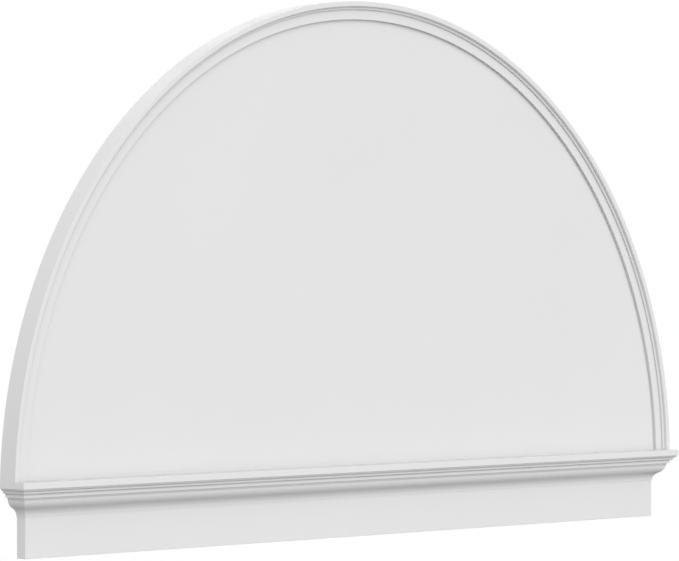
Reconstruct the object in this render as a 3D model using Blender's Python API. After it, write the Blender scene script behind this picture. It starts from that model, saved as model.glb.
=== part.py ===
"""Half round pediment for the head of a door or window surround.

A flat half-round field is framed by a curved rim moulding and stands on a frieze
board. A cornice moulding crosses the board and returns to the wall, mitred, at
both ends.

Frame: metres, +Z up. X runs along the width and the front faces -Y. The origin is
the centre of the half circle, on the wall plane Y = 0.
"""
import math

import bmesh
import bpy

IN = 0.0254                     # the piece is made to inch sizes

# ---------------------------------------------------------------- driving sizes
ARCH_RADIUS = 32.0 * IN         # outer radius of the half round: 64 in wide
LEDGE_Z = 0.8125 * IN           # top of the cornice, above the circle's centre
UNDERSIDE_Z = -4.0 * IN         # lower edge of the frieze board: 36 in high in all
BOARD_THICKNESS = 0.79 * IN     # frieze board
PANEL_THICKNESS = 0.89 * IN     # half-round panel
ARCH_DEPTH = 1.41 * IN          # wall to the rim's front
TOTAL_PROJECTION = 2.20 * IN    # wall to the cornice's front
GAP = 0.0003                    # clearance between pieces that touch

CORNICE_PROJECTION = TOTAL_PROJECTION - BOARD_THICKNESS      # beyond the frieze board
FRIEZE_HALF_WIDTH = ARCH_RADIUS - CORNICE_PROJECTION         # the returns end flush with the arch

# cornice section: projection p from the board, depth t below the ledge
FASCIA_HEIGHT = 0.41 * IN
OVOLO_TOP_P = 1.33 * IN
OVOLO_END_P, OVOLO_END = 1.15 * IN, 0.568 * IN
THIN_FILLET_P, THIN_FILLET_END = 1.14 * IN, 0.656 * IN
LOWER_ROUND_P, LOWER_ROUND_END = 1.00 * IN, 0.75 * IN
WIDE_FILLET_P, WIDE_FILLET_END = 0.955 * IN, 0.97 * IN
BEVEL_TOP_P, BEVEL_TOP = 0.80 * IN, 1.06 * IN
BEVEL_END_P, BEVEL_END = 0.75 * IN, 1.14 * IN
OGEE_CONVEX_RADIUS = 0.65 * IN
OGEE_CONVEX_START = math.radians(6.0)
OGEE_TURN = math.radians(63.8)
OGEE_CONCAVE_RADIUS = 0.65 * IN
OGEE_CONCAVE_END = math.radians(2.6)

# rim section: w inwards from the arch's outer face, s back from its front
RIM_FASCIA = 0.29 * IN
RIM_OVOLO_W, RIM_OVOLO_S = 0.387 * IN, 0.185 * IN
RIM_FILLET_W, RIM_FILLET_S = 0.525 * IN, 0.215 * IN
RIM_BEAD_W, RIM_BEAD_S = 0.55 * IN, 0.33 * IN
RIM_WIDTH, RIM_BAND_S = 1.207 * IN, 0.313 * IN
RIM_FOOT_W = 1.222 * IN         # the band's edge slopes a little, down to the panel
RIM_RABBET_W = 0.50 * IN        # the panel's edge stops this far inside the outer face

ARCH_SEGMENTS = 120
ROUND_STEPS = 4
OGEE_STEPS = 7


# ---------------------------------------------------------------- sections
def quarter_round(start, end, steps, bulge_first=0):
    """Points of a quarter ellipse from start to end, both corners included.

    The curve leaves start along the axis named by bulge_first and arrives at end along
    the other axis."""
    a = bulge_first
    b = 1 - a
    points = []
    for i in range(steps + 1):
        angle = math.pi / 2 * i / steps
        point = [0.0, 0.0]
        point[a] = start[a] + (end[a] - start[a]) * math.sin(angle)
        point[b] = start[b] + (end[b] - start[b]) * (1 - math.cos(angle))
        points.append(tuple(point))
    return points


def ogee(p, t, steps):
    """The cornice's lower swelling: a convex arc that turns into a concave one."""
    points = []
    r, a0, a1 = OGEE_CONVEX_RADIUS, OGEE_CONVEX_START, OGEE_TURN
    for i in range(steps + 1):
        a = a0 + (a1 - a0) * i / steps
        points.append((p - r * (math.cos(a0) - math.cos(a)), t + r * (math.sin(a) - math.sin(a0))))
    p, t = points[-1]
    r, a0, a1 = OGEE_CONCAVE_RADIUS, OGEE_TURN, OGEE_CONCAVE_END
    for i in range(1, steps + 1):
        a = a0 + (a1 - a0) * i / steps
        points.append((p - r * (math.cos(a) - math.cos(a0)), t + r * (math.sin(a0) - math.sin(a))))
    return points


def cornice_section():
    """Closed outline (p, z) of the cornice, from the back of the ledge, round the front."""
    front = [(CORNICE_PROJECTION, 0.0), (CORNICE_PROJECTION, FASCIA_HEIGHT)]
    front += quarter_round((OVOLO_TOP_P, FASCIA_HEIGHT), (OVOLO_END_P, OVOLO_END), ROUND_STEPS, 1)
    front += quarter_round((THIN_FILLET_P, THIN_FILLET_END), (LOWER_ROUND_P, LOWER_ROUND_END), ROUND_STEPS, 1)
    front += [(WIDE_FILLET_P, LOWER_ROUND_END), (WIDE_FILLET_P, WIDE_FILLET_END)]
    front += [(BEVEL_TOP_P, WIDE_FILLET_END), (BEVEL_TOP_P, BEVEL_TOP)]
    front += ogee(BEVEL_END_P, BEVEL_END, OGEE_STEPS)
    bottom = front[-1][1]
    outline = [(GAP, 0.0)] + front + [(GAP, bottom)]
    return [(p, LEDGE_Z - t) for p, t in outline]


def rim_section():
    """Closed outline (r, y) of the rim, from the outer edge of its front, inwards and round."""
    panel_s = ARCH_DEPTH - PANEL_THICKNESS - GAP
    front = [(0.0, 0.0)]
    front += quarter_round((RIM_FASCIA, 0.0), (RIM_OVOLO_W, RIM_OVOLO_S), ROUND_STEPS, 0)
    front += quarter_round((RIM_FILLET_W, RIM_FILLET_S), (RIM_BEAD_W, RIM_BEAD_S), ROUND_STEPS, 0)
    front += [(RIM_WIDTH, RIM_BAND_S)]
    back = [(RIM_FOOT_W, panel_s), (RIM_RABBET_W, panel_s), (RIM_RABBET_W, ARCH_DEPTH), (0.0, ARCH_DEPTH)]
    return [(ARCH_RADIUS - w, s - ARCH_DEPTH) for w, s in front + back]


# ---------------------------------------------------------------- solids
def material(name, colour, roughness):
    made = bpy.data.materials.new(name)
    made.use_nodes = True
    shader = made.node_tree.nodes["Principled BSDF"]
    shader.inputs["Base Color"].default_value = (*colour, 1.0)
    shader.inputs["Roughness"].default_value = roughness
    shader.inputs["Metallic"].default_value = 0.0
    return made


def lofted(name, rings, colour, smooth=False):
    """One closed solid through rings of matching points, with a flat cap at each end."""
    bm = bmesh.new()
    loops = [[bm.verts.new(point) for point in ring] for ring in rings]
    for a, b in zip(loops, loops[1:]):
        for i in range(len(a)):
            j = (i + 1) % len(a)
            bm.faces.new((a[i], a[j], b[j], b[i]))
    caps = [bm.faces.new(loops[0]), bm.faces.new(loops[-1])]
    bmesh.ops.recalc_face_normals(bm, faces=bm.faces)
    if bm.calc_volume(signed=True) < 0:
        bmesh.ops.reverse_faces(bm, faces=bm.faces)
    bmesh.ops.triangulate(bm, faces=caps, ngon_method="EAR_CLIP")
    mesh = bpy.data.meshes.new(name)
    bm.to_mesh(mesh)
    bm.free()
    if smooth:
        mesh.shade_smooth()
        mesh.set_sharp_from_angle(angle=math.radians(20))
    mesh.materials.append(material(name, colour, 0.45))
    piece = bpy.data.objects.new(name, mesh)
    bpy.context.scene.collection.objects.link(piece)
    return piece


WHITE = (0.80, 0.80, 0.80)


def tympanum_panel():
    """Half-round board, its straight edge on the ledge line."""
    radius = ARCH_RADIUS - RIM_RABBET_W - GAP
    foot = LEDGE_Z + GAP
    start = math.asin(foot / radius)
    outline = []
    for i in range(ARCH_SEGMENTS + 1):
        a = start + (math.pi - 2 * start) * i / ARCH_SEGMENTS
        outline.append((radius * math.cos(a), radius * math.sin(a)))
    rings = [[(x, y, z) for x, z in outline] for y in (-PANEL_THICKNESS, 0.0)]
    return lofted("tympanum_panel", rings, WHITE, smooth=True)


def arch_moulding():
    """The rim's section carried round the half circle, with both feet cut level on the ledge."""
    foot = LEDGE_Z + GAP
    section = rim_section()
    rings = []
    for i in range(ARCH_SEGMENTS + 1):
        ring = []
        for r, y in section:
            start = math.asin(foot / r)
            a = start + (math.pi - 2 * start) * i / ARCH_SEGMENTS
            ring.append((r * math.cos(a), y, r * math.sin(a)))
        rings.append(ring)
    return lofted("arch_moulding", rings, WHITE, smooth=True)


def frieze_board():
    x, y = FRIEZE_HALF_WIDTH, BOARD_THICKNESS
    rings = [[(-x, -y, z), (x, -y, z), (x, 0.0, z), (-x, 0.0, z)] for z in (UNDERSIDE_Z, LEDGE_Z)]
    return lofted("frieze_board", rings, WHITE)


def cornice_front_moulding():
    """Straight length, its ends mitred at 45 degrees."""
    ease = GAP * math.sqrt(0.5)
    section = cornice_section()
    rings = [
        [(side * (FRIEZE_HALF_WIDTH + p - ease), -(BOARD_THICKNESS + p), z) for p, z in section]
        for side in (-1, 1)
    ]
    return lofted("cornice_front_moulding", rings, WHITE, smooth=True)


def cornice_return(name, side):
    """Short length from the mitre back to the wall."""
    ease = GAP * math.sqrt(0.5)
    section = cornice_section()
    rings = [
        [(side * (FRIEZE_HALF_WIDTH + p), -(BOARD_THICKNESS + p - ease), z) for p, z in section],
        [(side * (FRIEZE_HALF_WIDTH + p), 0.0, z) for p, z in section],
    ]
    return lofted(name, rings, WHITE, smooth=True)


def main():
    for old in list(bpy.data.objects):
        bpy.data.objects.remove(old, do_unlink=True)
    tympanum_panel()
    arch_moulding()
    frieze_board()
    cornice_front_moulding()
    cornice_return("cornice_left_return", -1)
    cornice_return("cornice_right_return", 1)


main()
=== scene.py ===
import math

import bpy
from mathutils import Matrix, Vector


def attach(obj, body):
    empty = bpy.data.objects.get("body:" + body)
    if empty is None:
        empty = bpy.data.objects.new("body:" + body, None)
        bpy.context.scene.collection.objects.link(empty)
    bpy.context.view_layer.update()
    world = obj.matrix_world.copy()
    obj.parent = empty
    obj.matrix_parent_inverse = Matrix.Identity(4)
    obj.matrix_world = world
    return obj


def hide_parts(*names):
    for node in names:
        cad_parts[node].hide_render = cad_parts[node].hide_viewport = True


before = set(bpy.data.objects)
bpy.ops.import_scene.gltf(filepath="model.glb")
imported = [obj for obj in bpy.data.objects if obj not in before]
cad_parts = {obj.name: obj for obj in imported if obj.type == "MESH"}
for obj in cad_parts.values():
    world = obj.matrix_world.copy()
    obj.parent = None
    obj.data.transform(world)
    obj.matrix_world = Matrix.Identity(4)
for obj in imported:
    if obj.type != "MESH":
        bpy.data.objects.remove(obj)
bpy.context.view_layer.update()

IN = 0.0254

# ---------------------------------------------------------------- sizes, as in part.py
ARCH_RADIUS = 32.0 * IN
LEDGE_Z = 0.8125 * IN
UNDERSIDE_Z = -4.0 * IN
BOARD_THICKNESS = 0.79 * IN
PANEL_THICKNESS = 0.89 * IN
ARCH_DEPTH = 1.41 * IN
TOTAL_PROJECTION = 2.20 * IN
GAP = 0.0003

CORNICE_PROJECTION = TOTAL_PROJECTION - BOARD_THICKNESS
FRIEZE_HALF_WIDTH = ARCH_RADIUS - CORNICE_PROJECTION

FASCIA_HEIGHT = 0.41 * IN
OVOLO_TOP_P = 1.33 * IN
OVOLO_END_P, OVOLO_END = 1.15 * IN, 0.568 * IN
THIN_FILLET_P, THIN_FILLET_END = 1.14 * IN, 0.656 * IN
LOWER_ROUND_P, LOWER_ROUND_END = 1.00 * IN, 0.75 * IN
WIDE_FILLET_P, WIDE_FILLET_END = 0.955 * IN, 0.97 * IN
BEVEL_TOP_P, BEVEL_TOP = 0.80 * IN, 1.06 * IN
BEVEL_END_P, BEVEL_END = 0.75 * IN, 1.14 * IN
OGEE_CONVEX_RADIUS = 0.65 * IN
OGEE_CONVEX_START = math.radians(6.0)
OGEE_TURN = math.radians(63.8)
OGEE_CONCAVE_RADIUS = 0.65 * IN
OGEE_CONCAVE_END = math.radians(2.6)

RIM_FASCIA = 0.29 * IN
RIM_OVOLO_W, RIM_OVOLO_S = 0.387 * IN, 0.185 * IN
RIM_FILLET_W, RIM_FILLET_S = 0.525 * IN, 0.215 * IN
RIM_BEAD_W, RIM_BEAD_S = 0.55 * IN, 0.33 * IN
RIM_WIDTH, RIM_BAND_S = 1.207 * IN, 0.313 * IN
RIM_FOOT_W = 1.222 * IN
RIM_RABBET_W = 0.50 * IN

# ---------------------------------------------------------------- finish of the surfaces
JOINT = 0.00004                 # what is left open at a glued and filled joint
ARRIS = 0.00045                 # how far the milled arrises are eased
NOOK = 0.00030                  # paint left in the inner corners
BOARD_ARRIS = 0.0006
ARCH_STEPS = 400
ROUND_STEPS = 16
OGEE_STEPS = 22
RUN_STEP = 0.045                # length of a mesh division along a straight run


# ---------------------------------------------------------------- sections
def quarter_round(start, end, steps, bulge_first=0):
    """Points of a quarter ellipse from start to end, both corners included."""
    a = bulge_first
    b = 1 - a
    points = []
    for i in range(steps + 1):
        angle = math.pi / 2 * i / steps
        point = [0.0, 0.0]
        point[a] = start[a] + (end[a] - start[a]) * math.sin(angle)
        point[b] = start[b] + (end[b] - start[b]) * (1 - math.cos(angle))
        points.append(tuple(point))
    return points


def ogee(p, t, steps):
    """The cornice's lower swelling: a convex arc that turns into a concave one."""
    points = []
    r, a0, a1 = OGEE_CONVEX_RADIUS, OGEE_CONVEX_START, OGEE_TURN
    for i in range(steps + 1):
        a = a0 + (a1 - a0) * i / steps
        points.append((p - r * (math.cos(a0) - math.cos(a)), t + r * (math.sin(a) - math.sin(a0))))
    p, t = points[-1]
    r, a0, a1 = OGEE_CONCAVE_RADIUS, OGEE_TURN, OGEE_CONCAVE_END
    for i in range(1, steps + 1):
        a = a0 + (a1 - a0) * i / steps
        points.append((p - r * (math.cos(a) - math.cos(a0)), t + r * (math.sin(a0) - math.sin(a))))
    return points


def cornice_outline():
    """Closed outline (p, z) of the cornice, from the back of the ledge, round the front."""
    front = [(CORNICE_PROJECTION, 0.0), (CORNICE_PROJECTION, FASCIA_HEIGHT)]
    front += quarter_round((OVOLO_TOP_P, FASCIA_HEIGHT), (OVOLO_END_P, OVOLO_END), ROUND_STEPS, 1)
    front += quarter_round((THIN_FILLET_P, THIN_FILLET_END), (LOWER_ROUND_P, LOWER_ROUND_END), ROUND_STEPS, 1)
    front += [(WIDE_FILLET_P, LOWER_ROUND_END), (WIDE_FILLET_P, WIDE_FILLET_END)]
    front += [(BEVEL_TOP_P, WIDE_FILLET_END), (BEVEL_TOP_P, BEVEL_TOP)]
    front += ogee(BEVEL_END_P, BEVEL_END, OGEE_STEPS)
    bottom = front[-1][1]
    outline = [(JOINT, 0.0)] + front + [(JOINT, bottom)]
    return [(p, LEDGE_Z - t) for p, t in outline]


def rim_outline():
    """Closed outline (r, y) of the rim, from the outer edge of its front, inwards and round."""
    panel_s = ARCH_DEPTH - PANEL_THICKNESS - JOINT
    front = [(0.0, 0.0)]
    front += quarter_round((RIM_FASCIA, 0.0), (RIM_OVOLO_W, RIM_OVOLO_S), ROUND_STEPS, 0)
    front += quarter_round((RIM_FILLET_W, RIM_FILLET_S), (RIM_BEAD_W, RIM_BEAD_S), ROUND_STEPS, 0)
    front += [(RIM_WIDTH, RIM_BAND_S)]
    back = [(RIM_FOOT_W, panel_s), (RIM_RABBET_W, panel_s), (RIM_RABBET_W, ARCH_DEPTH), (0.0, ARCH_DEPTH)]
    return [(ARCH_RADIUS - w, s - ARCH_DEPTH) for w, s in front + back]


def eased(outline, arris, nook, sharp=()):
    """The closed outline with its corners eased, as (x, y, nx, ny, run) in anticlockwise order.

    An outward corner gets a small arc of radius arris and an inward one of radius nook; corners
    whose place is in sharp keep a tiny one. Points along curves keep their place."""
    pts = [Vector(p) for p in outline]
    pts = [p for i, p in enumerate(pts) if (p - pts[i - 1]).length > 1e-7]
    area = sum(a.x * b.y - b.x * a.y for a, b in zip(pts, pts[1:] + pts[:1]))
    if area < 0:
        pts.reverse()
    made = []
    n = len(pts)
    for i, v in enumerate(pts):
        before, after = v - pts[i - 1], pts[(i + 1) % n] - v
        a, b = before.normalized(), after.normalized()
        turn = math.atan2(a.x * b.y - a.y * b.x, a.dot(b))
        if abs(turn) < math.radians(15):
            normal = (Vector((a.y, -a.x)) + Vector((b.y, -b.x))).normalized()
            made.append((v, normal))
            continue
        radius = arris if turn > 0 else nook
        if any((v - Vector(s)).length < 1e-6 for s in sharp):
            radius = 0.00008
        tangent = radius * math.tan(abs(turn) / 2)
        room = 0.42 * min(before.length, after.length)
        if tangent > room:
            radius *= room / tangent
            tangent = room
        side = 1 if turn > 0 else -1
        out_a = Vector((a.y, -a.x))
        centre = v - a * tangent - out_a * radius * side
        steps = 2 if radius < 0.00015 else 4
        for k in range(steps + 1):
            t = turn * k / steps
            c, s = math.cos(t), math.sin(t)
            normal = Vector((out_a.x * c - out_a.y * s, out_a.x * s + out_a.y * c))
            made.append((centre + normal * radius * side, normal))
    rows, run = [], 0.0
    for i, (p, normal) in enumerate(made):
        if i:
            run += (p - made[i - 1][0]).length
        rows.append((p.x, p.y, normal.x, normal.y, run))
    return rows


# ---------------------------------------------------------------- meshes
def swept(name, rings, lengths, cap_normals, material):
    """One closed mesh through rings of (point, normal, run), with a flat cap at each end.

    lengths holds how far along its run each ring lies, for the pattern's coordinates."""
    count = len(rings[0])
    verts = [p for ring in rings for p, _, _ in ring]
    vertex_normals = [n for ring in rings for _, n, _ in ring]
    faces = []
    for k in range(len(rings) - 1):
        for i in range(count):
            j = (i + 1) % count
            faces.append((k * count + i, k * count + j, (k + 1) * count + j, (k + 1) * count + i))
    a, b, c = (Vector(verts[i]) for i in faces[len(faces) // 2][:3])
    if (b - a).cross(c - b).dot(Vector(vertex_normals[faces[len(faces) // 2][0]])) < 0:
        faces = [tuple(reversed(f)) for f in faces]
        first, last = tuple(range(count)), tuple(reversed(range(count)))
    else:
        first, last = tuple(reversed(range(count))), tuple(range(count))
    start = (len(rings) - 1) * count
    faces.append(first)
    faces.append(tuple(start + i for i in last))
    mesh = bpy.data.meshes.new(name)
    mesh.from_pydata([tuple(v) for v in verts], [], faces)
    mesh.update()
    loop_normals = []
    for polygon in mesh.polygons:
        cap = polygon.index - (len(faces) - 2)
        for v in polygon.vertices:
            loop_normals.append(tuple(cap_normals[cap]) if cap >= 0 else tuple(vertex_normals[v]))
    layer = mesh.uv_layers.new(name="run")
    round_run = rings[0][-1][2] + (Vector(rings[0][0][0]) - Vector(rings[0][-1][0])).length
    for polygon in mesh.polygons:
        wrap = polygon.index < len(faces) - 2 and polygon.index % count == count - 1
        for loop in polygon.loop_indices:
            v = mesh.loops[loop].vertex_index
            across = rings[0][v % count][2]
            if wrap and v % count == 0:
                across = round_run
            layer.data[loop].uv = (lengths[v // count], across)
    mesh.shade_smooth()
    mesh.normals_split_custom_set(loop_normals)
    mesh.materials.append(material)
    piece = bpy.data.objects.new(name, mesh)
    bpy.context.scene.collection.objects.link(piece)
    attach(piece, "root")
    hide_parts(name.replace("_finish", ""))
    return piece


def arch_moulding(material):
    """The rim's section carried round the half circle, its two feet cut level on the ledge."""
    foot = LEDGE_Z + JOINT
    section = eased(rim_outline(), ARRIS, NOOK)
    rings, lengths = [], []
    for i in range(ARCH_STEPS + 1):
        ring = []
        for r, y, nr, ny, run in section:
            start = math.asin(foot / r)
            a = start + (math.pi - 2 * start) * i / ARCH_STEPS
            ca, sa = math.cos(a), math.sin(a)
            ring.append(((r * ca, y, r * sa), (nr * ca, ny, nr * sa), run))
        rings.append(ring)
        lengths.append(ARCH_RADIUS * math.pi * i / ARCH_STEPS)
    down = (0.0, 0.0, -1.0)
    return swept("arch_moulding_finish", rings, lengths, (down, down), material)


def stations(low, high):
    """Places from low to high, no further apart than RUN_STEP."""
    n = max(1, math.ceil((high - low) / RUN_STEP))
    return [low + (high - low) * i / n for i in range(n + 1)]


def cornice_section():
    """The cornice's outline with its corners eased, but for two that the cutter leaves crisp."""
    outline = cornice_outline()
    crisp = [(WIDE_FILLET_P, LEDGE_Z - WIDE_FILLET_END), outline[-2]]
    return eased(outline, ARRIS, NOOK, crisp)


def cornice_front(material):
    """The straight length, mitred at both ends, in divisions that are square to it in between."""
    section = cornice_section()
    ease = JOINT * math.sqrt(0.5)
    rings, lengths = [], []
    for x in stations(-FRIEZE_HALF_WIDTH, FRIEZE_HALF_WIDTH):
        ring = []
        for p, z, np_, nz, run in section:
            if abs(x) > FRIEZE_HALF_WIDTH - 1e-6:
                px = math.copysign(FRIEZE_HALF_WIDTH + p - ease, x)
            else:
                px = x
            ring.append(((px, -(BOARD_THICKNESS + p), z), (0.0, -np_, nz), run))
        rings.append(ring)
        lengths.append(x)
    h = math.sqrt(0.5)
    return swept("cornice_front_moulding_finish", rings, lengths, ((-h, h, 0.0), (h, h, 0.0)), material)


def cornice_return(side, material):
    """The short length from the mitre back to the wall."""
    section = cornice_section()
    ease = JOINT * math.sqrt(0.5)
    rings, lengths = [], []
    for y in (None, -BOARD_THICKNESS, -BOARD_THICKNESS / 2, 0.0):
        ring = []
        for p, z, np_, nz, run in section:
            py = -(BOARD_THICKNESS + p - ease) if y is None else y
            ring.append(((side * (FRIEZE_HALF_WIDTH + p), py, z), (side * np_, 0.0, nz), run))
        rings.append(ring)
        lengths.append(-TOTAL_PROJECTION if y is None else y)
    h = math.sqrt(0.5)
    name = "cornice_left_return_finish" if side < 0 else "cornice_right_return_finish"
    return swept(name, rings, lengths, ((-side * h, -h, 0.0), (0.0, 1.0, 0.0)), material)


def slab(name, outline, front_y, back_y, arris, material):
    """A flat board: its outline (x, z) between two planes, the edges of both faces eased.

    The outline's corners are a little rounder than the arris, so no points meet at the face."""
    rows = eased(outline, arris * 1.25, arris * 1.25)
    rings, lengths = [], []
    for y, side in ((front_y, -1), (back_y, 1)):
        angles = range(4) if side < 0 else range(3, -1, -1)
        for k in angles:
            a = math.pi / 2 * k / 3
            inset, depth = arris * (1 - math.sin(a)), arris * (1 - math.cos(a))
            ring = []
            for x, z, nx, nz, run in rows:
                normal = (nx * math.sin(a), side * math.cos(a), nz * math.sin(a))
                ring.append(((x - nx * inset, y - side * depth, z - nz * inset), normal, run))
            rings.append(ring)
            lengths.append(y)
    return swept(name, rings, lengths, ((0.0, -1.0, 0.0), (0.0, 1.0, 0.0)), material)


def tympanum_panel(material):
    radius = ARCH_RADIUS - RIM_RABBET_W - GAP
    foot = LEDGE_Z + JOINT
    start = math.asin(foot / radius)
    outline = []
    for i in range(ARCH_STEPS + 1):
        a = start + (math.pi - 2 * start) * i / ARCH_STEPS
        outline.append((radius * math.cos(a), radius * math.sin(a)))
    return slab("tympanum_panel_finish", outline, -PANEL_THICKNESS, 0.0, 0.00008, material)


def frieze_board(material):
    x = FRIEZE_HALF_WIDTH
    outline = [(-x, UNDERSIDE_Z), (x, UNDERSIDE_Z), (x, LEDGE_Z), (-x, LEDGE_Z)]
    return slab("frieze_board_finish", outline, -BOARD_THICKNESS, 0.0, BOARD_ARRIS, material)


# ---------------------------------------------------------------- materials
def node(tree, kind, **values):
    made = tree.nodes.new(kind)
    for key, value in values.items():
        if key in made.inputs:
            made.inputs[key].default_value = value
        else:
            setattr(made, key, value)
    return made


def ranged(tree, source, low, high):
    """source, which runs about 0.3 to 0.7, mapped to low and high."""
    made = node(tree, "ShaderNodeMapRange")
    made.inputs["From Min"].default_value = 0.3
    made.inputs["From Max"].default_value = 0.7
    made.inputs["To Min"].default_value = low
    made.inputs["To Max"].default_value = high
    tree.links.new(source, made.inputs["Value"])
    return made.outputs["Result"]


def white_finish(name, tone, milled):
    """White cellular plastic with a satin skin; a milled one shows the cutter's faint lines."""
    material = bpy.data.materials.new(name)
    material.use_nodes = True
    tree = material.node_tree
    shader = tree.nodes["Principled BSDF"]
    shader.inputs["Metallic"].default_value = 0.0
    shader.inputs["IOR"].default_value = 1.5
    place = node(tree, "ShaderNodeTexCoord")
    tint = node(tree, "ShaderNodeTexNoise", Scale=2.6, Detail=3.0, Roughness=0.55)
    tree.links.new(place.outputs["Object"], tint.inputs["Vector"])
    colour = node(tree, "ShaderNodeValToRGB")
    colour.color_ramp.elements[0].position = 0.3
    colour.color_ramp.elements[0].color = (tone - 0.006, tone - 0.006, tone - 0.006, 1.0)
    colour.color_ramp.elements[1].position = 0.7
    colour.color_ramp.elements[1].color = (tone + 0.006, tone + 0.006, tone + 0.006, 1.0)
    tree.links.new(tint.outputs["Fac"], colour.inputs["Fac"])
    tree.links.new(colour.outputs["Color"], shader.inputs["Base Color"])

    skin = node(tree, "ShaderNodeTexNoise", Scale=420.0, Detail=3.0, Roughness=0.6)
    tree.links.new(place.outputs["Object"], skin.inputs["Vector"])
    patches = node(tree, "ShaderNodeTexNoise", Scale=9.0, Detail=2.0, Roughness=0.5)
    tree.links.new(place.outputs["Object"], patches.inputs["Vector"])
    tree.links.new(ranged(tree, patches.outputs["Fac"], 0.42, 0.54), shader.inputs["Roughness"])

    bump = node(tree, "ShaderNodeBump", Strength=0.5, Distance=0.00003)
    tree.links.new(skin.outputs["Fac"], bump.inputs["Height"])
    if milled:
        run = node(tree, "ShaderNodeUVMap", uv_map="run")
        stretch = node(tree, "ShaderNodeMapping")
        stretch.inputs["Scale"].default_value = (3.0, 1900.0, 1.0)
        tree.links.new(run.outputs["UV"], stretch.inputs["Vector"])
        lines = node(tree, "ShaderNodeTexNoise", Scale=1.0, Detail=2.0, Roughness=0.5)
        tree.links.new(stretch.outputs["Vector"], lines.inputs["Vector"])
        cut = node(tree, "ShaderNodeBump", Strength=0.4, Distance=0.000005)
        tree.links.new(lines.outputs["Fac"], cut.inputs["Height"])
        tree.links.new(bump.outputs["Normal"], cut.inputs["Normal"])
        bump = cut
    tree.links.new(bump.outputs["Normal"], shader.inputs["Normal"])
    return material


# ---------------------------------------------------------------- studio
CAMERA_TURN = 0.81610           # radians, from straight on towards the left
CAMERA_DISTANCE = 271.841 * IN
CAMERA_AIM = (0.0, -1.10 * IN, 13.856 * IN)
FOCAL_PIXELS = 4031.75
AIM_PIXEL = (367.259, 271.098)
FRAME_SIZE = (679, 561)


def camera():
    data = bpy.data.cameras.new("camera")
    data.sensor_width = 36.0
    data.lens = FOCAL_PIXELS * data.sensor_width / FRAME_SIZE[0]
    data.shift_x = (FRAME_SIZE[0] / 2 - AIM_PIXEL[0]) / FRAME_SIZE[0]
    data.shift_y = (AIM_PIXEL[1] - FRAME_SIZE[1] / 2) / FRAME_SIZE[0]
    data.clip_start, data.clip_end = 0.1, 200.0
    made = bpy.data.objects.new("camera", data)
    ahead = Vector((math.sin(CAMERA_TURN), math.cos(CAMERA_TURN), 0.0))
    made.location = Vector(CAMERA_AIM) - ahead * CAMERA_DISTANCE
    made.rotation_euler = (math.pi / 2, 0.0, -CAMERA_TURN)
    bpy.context.scene.collection.objects.link(made)
    bpy.context.scene.camera = made


# (direction that the light comes from, strength, how narrow it is)
AMBIENT = 0.085
LOBES = [
    ((-0.212, -0.791, 0.574), 3.24, 4.0),   # very large softbox over the camera
    ((0.492, -0.853, -0.174), 1.30, 4.0),   # low fill from the right front
    ((-0.908, 0.330, 0.259), 1.87, 6.0),    # from the left, a little behind
    ((0.330, 0.908, 0.259), 4.10, 6.0),     # bright wall far behind
    ((-0.600, 0.350, -0.720), 0.79, 6.0),   # what comes up from the floor on the left
]


def studio_light(ambient, lobes):
    """Soft light from all round the studio, each lobe one large source, and a white backdrop."""
    world = bpy.data.worlds.new("studio")
    bpy.context.scene.world = world
    world.use_nodes = True
    tree = world.node_tree
    tree.nodes.clear()
    place = tree.nodes.new("ShaderNodeTexCoord")
    total = None
    for direction, strength, power in lobes:
        dot = tree.nodes.new("ShaderNodeVectorMath")
        dot.operation = "DOT_PRODUCT"
        dot.inputs[1].default_value = Vector(direction).normalized()
        tree.links.new(place.outputs["Generated"], dot.inputs[0])
        ahead = tree.nodes.new("ShaderNodeMath")
        ahead.operation = "MAXIMUM"
        ahead.inputs[1].default_value = 0.0
        tree.links.new(dot.outputs["Value"], ahead.inputs[0])
        narrow = tree.nodes.new("ShaderNodeMath")
        narrow.operation = "POWER"
        narrow.inputs[1].default_value = power
        tree.links.new(ahead.outputs["Value"], narrow.inputs[0])
        add = tree.nodes.new("ShaderNodeMath")
        add.operation = "MULTIPLY_ADD"
        add.inputs[1].default_value = strength
        add.inputs[2].default_value = ambient
        tree.links.new(narrow.outputs["Value"], add.inputs[0])
        if total is not None:
            tree.links.new(total, add.inputs[2])
        total = add.outputs["Value"]
    light = tree.nodes.new("ShaderNodeBackground")
    tree.links.new(total, light.inputs["Strength"])
    backdrop = tree.nodes.new("ShaderNodeBackground")
    backdrop.inputs["Color"].default_value = (1.0, 1.0, 1.0, 1.0)
    backdrop.inputs["Strength"].default_value = 1.0
    path = tree.nodes.new("ShaderNodeLightPath")
    mix = tree.nodes.new("ShaderNodeMixShader")
    tree.links.new(path.outputs["Is Camera Ray"], mix.inputs["Fac"])
    tree.links.new(light.outputs["Background"], mix.inputs[1])
    tree.links.new(backdrop.outputs["Background"], mix.inputs[2])
    out = tree.nodes.new("ShaderNodeOutputWorld")
    tree.links.new(mix.outputs["Shader"], out.inputs["Surface"])


FLOOR_Z = -2.2                  # the piece hangs over a doorway
FLOOR_RADIUS = 10.0


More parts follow.
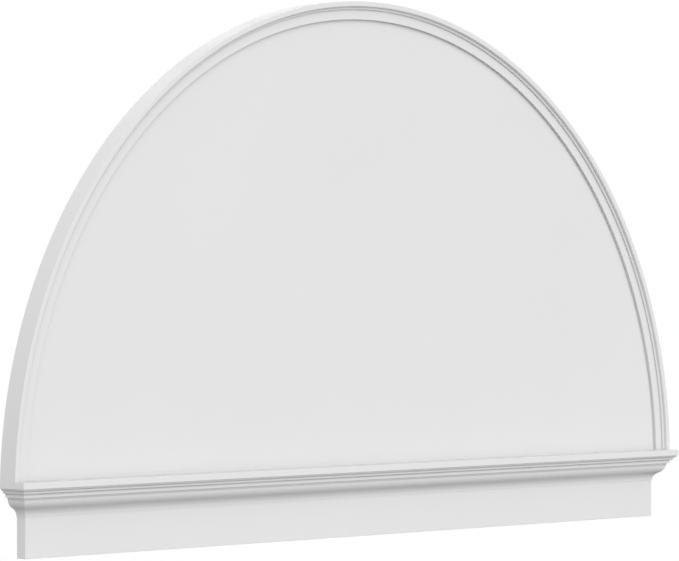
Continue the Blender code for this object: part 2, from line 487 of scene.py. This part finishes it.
def floor():
    """Pale studio floor that fades out into the backdrop, with nothing to see from below."""
    rings, count = 12, 96
    verts = [(0.0, 0.0, FLOOR_Z)]
    faces = []
    for k in range(1, rings + 1):
        r = FLOOR_RADIUS * k / rings
        for i in range(count):
            a = 2 * math.pi * i / count
            verts.append((r * math.cos(a), r * math.sin(a), FLOOR_Z))
    for i in range(count):
        faces.append((0, 1 + i, 1 + (i + 1) % count))
        for k in range(rings - 1):
            a, b = 1 + k * count, 1 + (k + 1) * count
            faces.append((a + i, b + i, b + (i + 1) % count, a + (i + 1) % count))
    mesh = bpy.data.meshes.new("studio_floor")
    mesh.from_pydata(verts, [], faces)
    mesh.update()
    material = bpy.data.materials.new("floor_white")
    material.use_nodes = True
    tree = material.node_tree
    shader = tree.nodes["Principled BSDF"]
    shader.inputs["Base Color"].default_value = (0.84, 0.84, 0.84, 1.0)
    shader.inputs["Roughness"].default_value = 0.8
    place = tree.nodes.new("ShaderNodeTexCoord")
    far = tree.nodes.new("ShaderNodeVectorMath")
    far.operation = "LENGTH"
    tree.links.new(place.outputs["Object"], far.inputs[0])
    fade = tree.nodes.new("ShaderNodeMapRange")
    fade.interpolation_type = "SMOOTHSTEP"
    fade.inputs["From Min"].default_value = 0.45 * FLOOR_RADIUS
    fade.inputs["From Max"].default_value = 0.98 * FLOOR_RADIUS
    fade.inputs["To Min"].default_value = 0.0
    fade.inputs["To Max"].default_value = 1.0
    tree.links.new(far.outputs["Value"], fade.inputs["Value"])
    face = tree.nodes.new("ShaderNodeNewGeometry")
    either = tree.nodes.new("ShaderNodeMath")
    either.operation = "MAXIMUM"
    tree.links.new(fade.outputs["Result"], either.inputs[0])
    tree.links.new(face.outputs["Backfacing"], either.inputs[1])
    clear = tree.nodes.new("ShaderNodeBsdfTransparent")
    mix = tree.nodes.new("ShaderNodeMixShader")
    tree.links.new(either.outputs["Value"], mix.inputs["Fac"])
    tree.links.new(shader.outputs["BSDF"], mix.inputs[1])
    tree.links.new(clear.outputs["BSDF"], mix.inputs[2])
    tree.links.new(mix.outputs["Shader"], tree.nodes["Material Output"].inputs["Surface"])
    mesh.materials.append(material)
    made = bpy.data.objects.new("studio_floor", mesh)
    bpy.context.scene.collection.objects.link(made)
    made.visible_diffuse = False
    made.visible_glossy = False
    made.visible_shadow = False
    return made


# ---------------------------------------------------------------- the scene
bpy.context.scene.view_settings.view_transform = "Standard"
bpy.context.scene.view_settings.look = "None"
bpy.context.scene.cycles.diffuse_bounces = 1

board = white_finish("board_white", 0.72, False)
moulding = white_finish("moulding_white", 0.72, True)

camera()
tympanum_panel(board)
arch_moulding(moulding)
frieze_board(board)
cornice_front(moulding)
cornice_return(-1, moulding)
cornice_return(1, moulding)
floor()
studio_light(AMBIENT, LOBES)
